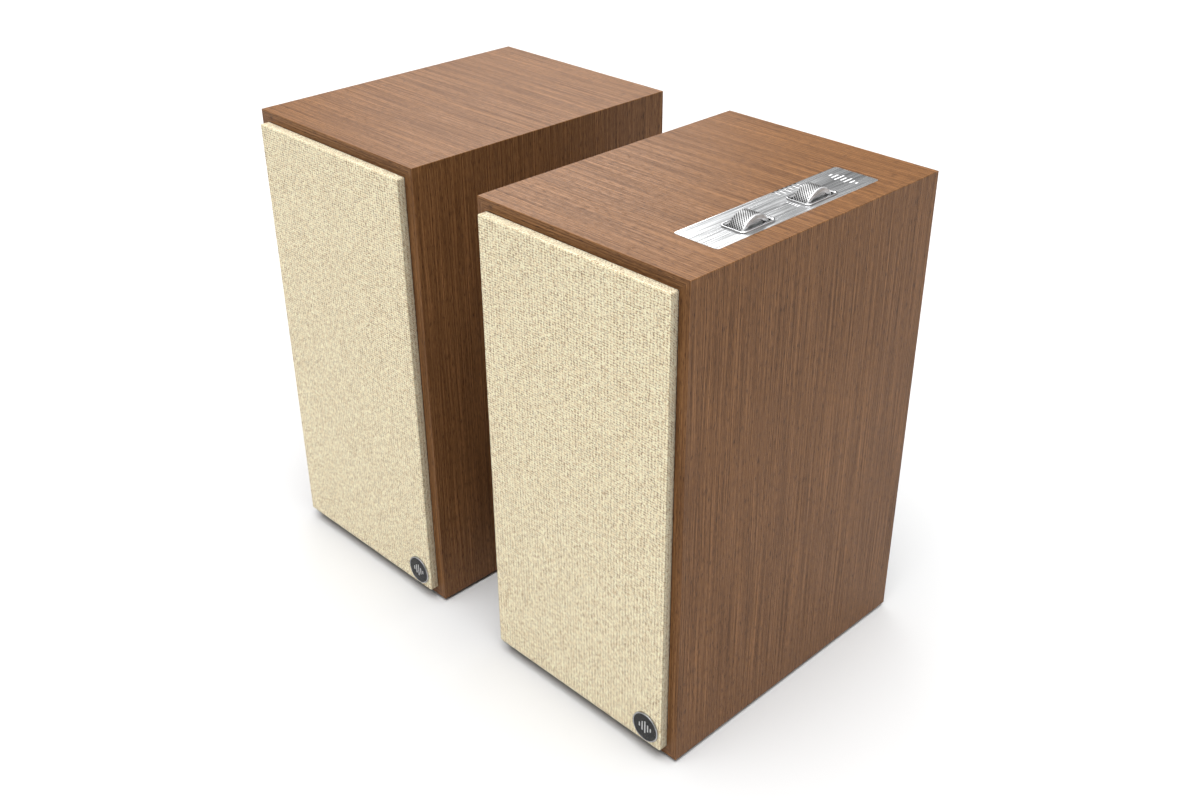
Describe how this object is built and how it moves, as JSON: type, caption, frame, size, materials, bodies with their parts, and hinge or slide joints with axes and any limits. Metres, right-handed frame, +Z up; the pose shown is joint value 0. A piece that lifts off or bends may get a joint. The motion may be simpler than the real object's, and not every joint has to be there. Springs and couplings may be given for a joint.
{
  "type": "pair of powered desktop speakers",
  "caption": "Two wood-veneered loudspeaker cabinets with tweed grilles; one has a brushed top plate with knurled volume and source thumb wheels and holds the amplifier.",
  "frame": {"origin": "midway between the two cabinets, at the middle of the whole depth, on the surface that the feet stand on", "axes": "+Z up, -Y towards the listener, +X towards the primary cabinet, which holds the controls and amplifier"},
  "size_m": [0.484, 0.2974, 0.4151],
  "materials": {
    "walnut_veneer": "satin open-grain walnut veneer over fibreboard",
    "black_board": "matt black painted fibreboard",
    "fibreboard": "raw fibreboard",
    "foot_rubber": "matt",
    "port_plastic": "fine moulded texture",
    "basket_steel": "black powder coat",
    "motor_steel": "zinc plated",
    "cone_paper": "coated pulp",
    "copper_wire": "enamelled winding",
    "surround_rubber": "satin",
    "spider_cloth": "resin-stiffened woven cloth",
    "horn_plastic": "satin",
    "dome_aluminium": "satin",
    "black_screw_steel": "black oxide",
    "magnet_nickel": "nickel plated",
    "grille_plastic": "matt",
    "grille_tweed": "flecked cream and grey tweed weave",
    "badge_metal": "bright ring around a gloss black disc",
    "lead_insulation": "satin",
    "brushed_plate": "brushed along its length",
    "bezel_chrome": "polished",
    "carrier_plastic": "satin",
    "circuit_board": "solder mask",
    "knurled_metal": "diamond knurled, satin plated",
    "light_lens": "smoked",
    "black_sheet_steel": "fine texture powder coat",
    "core_steel": "varnished laminations",
    "inlet_plastic": "satin",
    "rocker_plastic": "semi-gloss",
    "jack_brass": "gold plated"
  },
  "bodies": {
    "primary_cabinet": {"primary_cabinet_wrap": "walnut_veneer", "primary_baffle": "black_board", "primary_back_panel": "black_board", "primary_brace": "fibreboard", "primary_feet": "foot_rubber", "primary_port_tube": "port_plastic", "primary_woofer_basket": "basket_steel", "primary_woofer_motor": "motor_steel", "primary_woofer_surround": "surround_rubber", "primary_woofer_spider": "spider_cloth", "primary_tweeter_horn": "horn_plastic", "primary_tweeter_motor": "motor_steel", "primary_screws": "black_screw_steel", "primary_baffle_magnets": "magnet_nickel", "primary_wiring": "lead_insulation", "control_plate": "brushed_plate", "wheel_bezels": "bezel_chrome", "wheel_carrier": "carrier_plastic", "control_board": "circuit_board", "status_lights": "light_lens", "amplifier_plate": "black_sheet_steel", "amplifier_board": "circuit_board", "power_transformer": "core_steel", "mains_inlet": "inlet_plastic", "signal_jacks": "jack_brass"},
    "secondary_cabinet": {"secondary_cabinet_wrap": "walnut_veneer", "secondary_baffle": "black_board", "secondary_back_panel": "black_board", "secondary_brace": "fibreboard", "secondary_feet": "foot_rubber", "secondary_port_tube": "port_plastic", "secondary_woofer_basket": "basket_steel", "secondary_woofer_motor": "motor_steel", "secondary_woofer_surround": "surround_rubber", "secondary_woofer_spider": "spider_cloth", "secondary_tweeter_horn": "horn_plastic", "secondary_tweeter_motor": "motor_steel", "secondary_screws": "black_screw_steel", "secondary_baffle_magnets": "magnet_nickel", "secondary_wiring": "lead_insulation", "link_socket_plate": "inlet_plastic"},
    "primary_grille": {"primary_grille_frame": "grille_plastic", "primary_grille_cloth": "grille_tweed", "primary_grille_badge": "badge_metal", "primary_grille_magnets": "magnet_nickel"},
    "primary_woofer": {"primary_woofer_cone": "cone_paper", "primary_voice_coil": "copper_wire"},
    "primary_tweeter": {"primary_tweeter_dome": "dome_aluminium"},
    "secondary_grille": {"secondary_grille_frame": "grille_plastic", "secondary_grille_cloth": "grille_tweed", "secondary_grille_badge": "badge_metal", "secondary_grille_magnets": "magnet_nickel"},
    "secondary_woofer": {"secondary_woofer_cone": "cone_paper", "secondary_voice_coil": "copper_wire"},
    "secondary_tweeter": {"secondary_tweeter_dome": "dome_aluminium"},
    "volume_wheel": {"volume_wheel": "knurled_metal"},
    "source_wheel": {"source_wheel": "knurled_metal"},
    "power_rocker": {"power_rocker": "rocker_plastic"},
    "input_slider": {"input_slider": "rocker_plastic"},
    "ground_nut": {"ground_nut": "jack_brass"}
  },
  "joints": [
    {"name": "speaker_spacing", "type": "slide", "parent": "primary_cabinet", "child": "secondary_cabinet", "axis": [-1, 0, 0], "range_m": [-0.07, 0.2]},
    {"name": "primary_grille_pull", "type": "slide", "parent": "primary_cabinet", "child": "primary_grille", "axis": [0, -1, 0], "range_m": [0, 0.06]},
    {"name": "primary_woofer_stroke", "type": "slide", "parent": "primary_cabinet", "child": "primary_woofer", "axis": [0, -1, 0], "range_m": [-0.004, 0.004], "stiffness_N_per_m": 1000, "deforming": ["primary_woofer_surround", "primary_woofer_spider"]},
    {"name": "primary_tweeter_stroke", "type": "slide", "parent": "primary_cabinet", "child": "primary_tweeter", "axis": [0, -1, 0], "range_m": [-0.0003, 0.0003], "stiffness_N_per_m": 4000},
    {"name": "secondary_grille_pull", "type": "slide", "parent": "secondary_cabinet", "child": "secondary_grille", "axis": [0, -1, 0], "range_m": [0, 0.06]},
    {"name": "secondary_woofer_stroke", "type": "slide", "parent": "secondary_cabinet", "child": "secondary_woofer", "axis": [0, -1, 0], "range_m": [-0.004, 0.004], "stiffness_N_per_m": 1000, "deforming": ["secondary_woofer_surround", "secondary_woofer_spider"]},
    {"name": "secondary_tweeter_stroke", "type": "slide", "parent": "secondary_cabinet", "child": "secondary_tweeter", "axis": [0, -1, 0], "range_m": [-0.0003, 0.0003], "stiffness_N_per_m": 4000},
    {"name": "volume_wheel_turn", "type": "hinge", "parent": "primary_cabinet", "child": "volume_wheel", "pos_m": [0.207, -0.0428, 0.3992], "axis": [1, 0, 0], "continuous": true},
    {"name": "source_wheel_turn", "type": "hinge", "parent": "primary_cabinet", "child": "source_wheel", "pos_m": [0.207, 0.0272, 0.3992], "axis": [1, 0, 0], "continuous": true},
    {"name": "power_rocker_tilt", "type": "hinge", "parent": "primary_cabinet", "child": "power_rocker", "pos_m": [0.174, 0.1342, 0.095], "axis": [1, 0, 0], "range_deg": [0, 14]},
    {"name": "input_slider_travel", "type": "slide", "parent": "primary_cabinet", "child": "input_slider", "axis": [1, 0, 0], "range_m": [0, 0.004]},
    {"name": "ground_nut_turn", "type": "hinge", "parent": "primary_cabinet", "child": "ground_nut", "pos_m": [0.146, 0.1427, 0.153], "axis": [0, 1, 0], "continuous": true}
  ]
}
